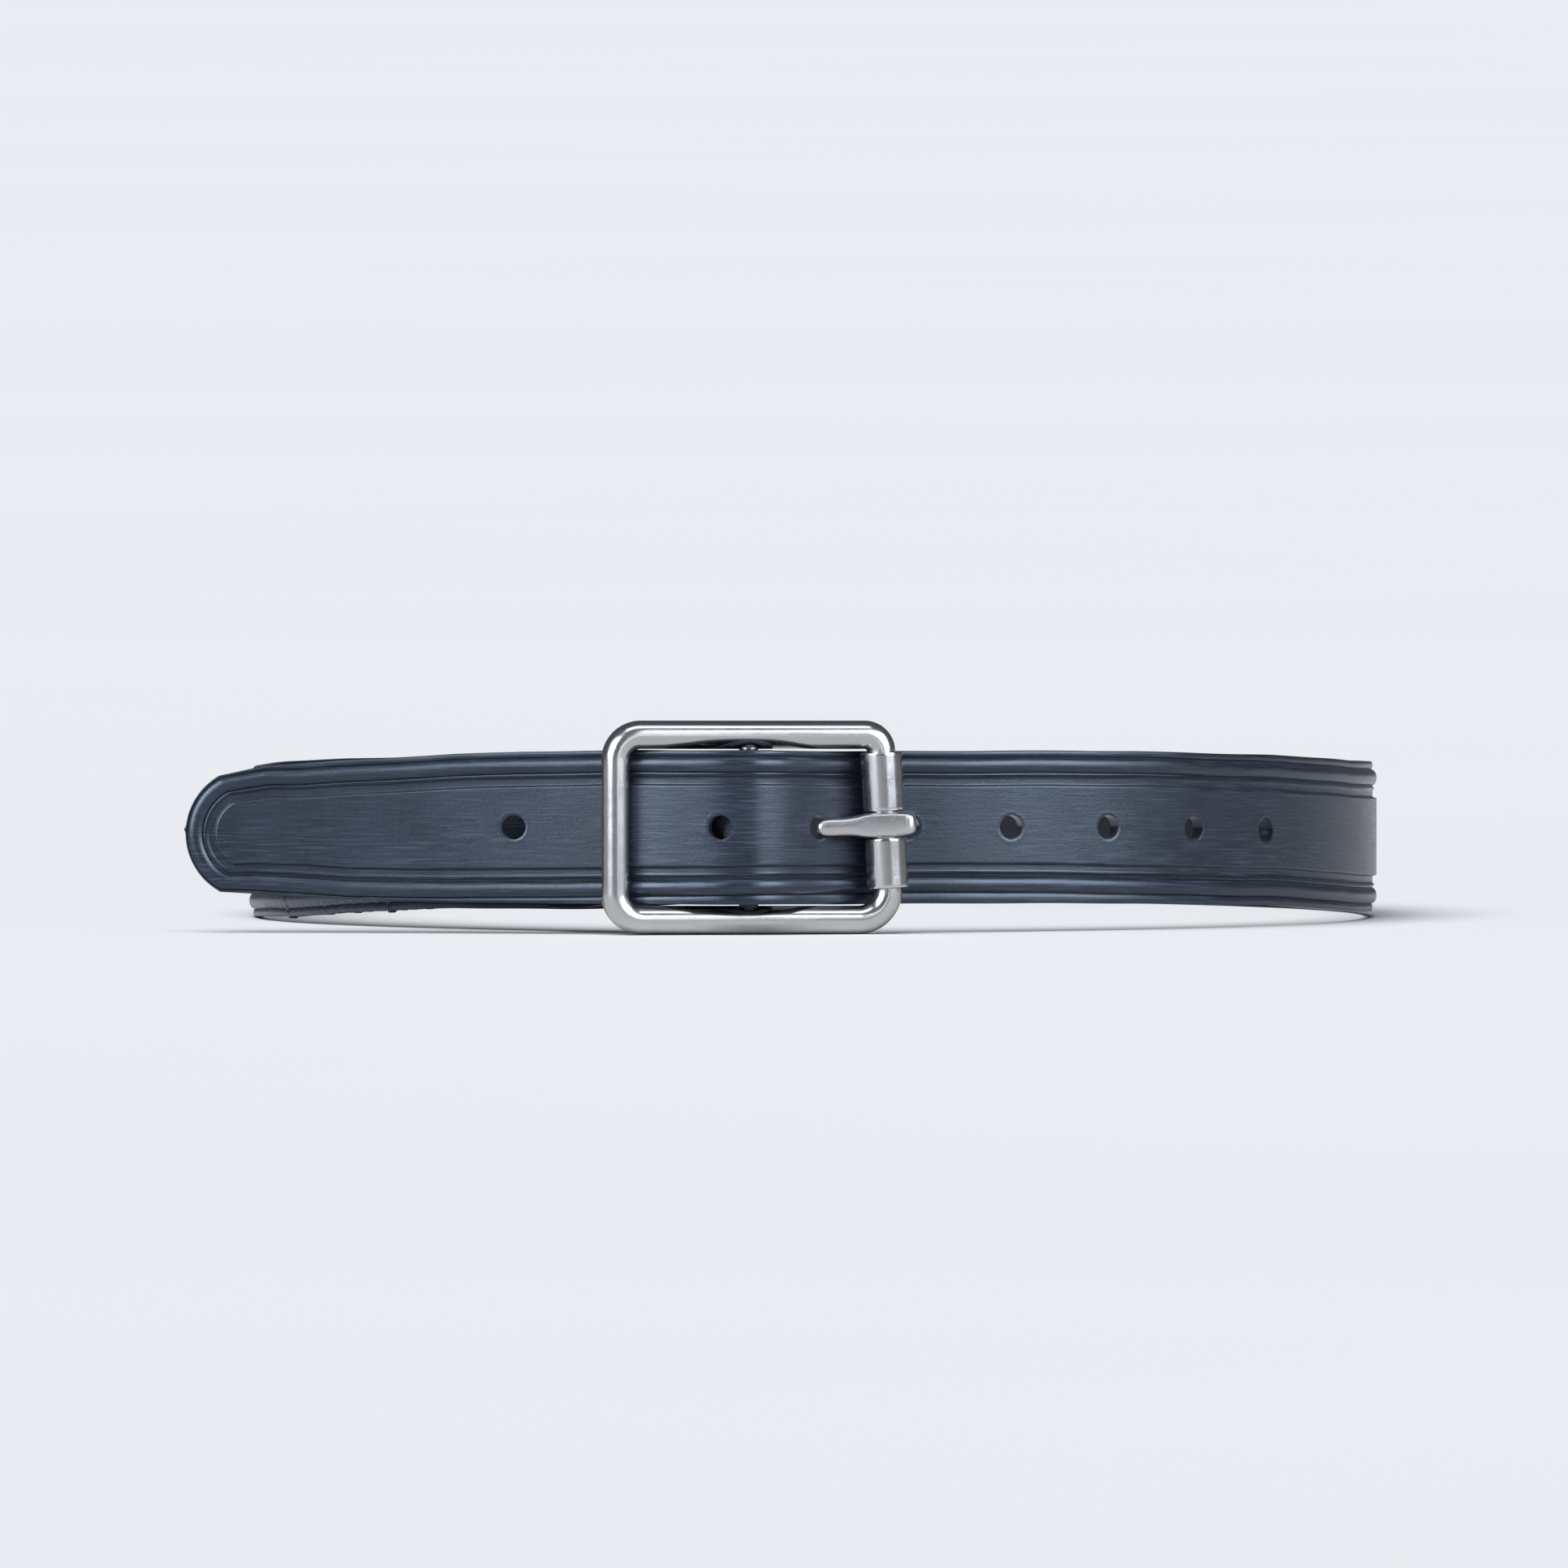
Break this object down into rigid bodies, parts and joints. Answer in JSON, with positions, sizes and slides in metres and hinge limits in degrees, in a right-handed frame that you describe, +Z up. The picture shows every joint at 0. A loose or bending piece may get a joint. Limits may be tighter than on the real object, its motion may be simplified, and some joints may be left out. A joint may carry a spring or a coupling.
{
  "type": "dive weight belt",
  "caption": "Moulded rubber dive weight belt with ridged edges and adjusting holes, closed by a bent-rod roller buckle with a pivoting tongue.",
  "frame": {"origin": "on the floor the belt stands on, below the middle of the waist loop", "axes": "+Z up, -Y towards the viewer of the buckle, +X to the viewer's right; the tail points to -X. The belt stands leaning 1.52 degrees back"},
  "size_m": [0.3951, 0.4061, 0.0707],
  "materials": {
    "strap_rubber": "satin moulded rubber, dark blue-grey",
    "rod_steel": "polished stainless steel with fine handling marks",
    "roller_steel": "polished stainless steel with fine handling marks",
    "tongue_steel": "satin stainless steel",
    "rivet_steel": "satin stainless steel"
  },
  "bodies": {
    "belt": {"strap": "strap_rubber", "buckle_frame": "rod_steel", "centre_bar": "rod_steel", "rivet_post_upper": "rivet_steel", "rivet_post_lower": "rivet_steel", "rivet_cap_upper": "rivet_steel", "rivet_cap_lower": "rivet_steel"},
    "tongue": {"tongue": "tongue_steel"},
    "upper_roller": {"upper_roller": "roller_steel"},
    "lower_roller": {"lower_roller": "roller_steel"}
  },
  "joints": [
    {"name": "tongue_pivot", "type": "hinge", "parent": "belt", "child": "tongue", "pos_m": [0.0231, -0.18813, 0.03513], "axis": [-0.0515, 0.0174, 0.9985], "range_deg": [0, 60]},
    {"name": "upper_roller_spin", "type": "hinge", "parent": "belt", "child": "upper_roller", "pos_m": [0.0231, -0.18813, 0.03513], "axis": [-0.0515, 0.0174, 0.9985], "continuous": true},
    {"name": "lower_roller_spin", "type": "hinge", "parent": "belt", "child": "lower_roller", "pos_m": [0.0231, -0.18813, 0.03513], "axis": [-0.0515, 0.0174, 0.9985], "continuous": true}
  ]
}
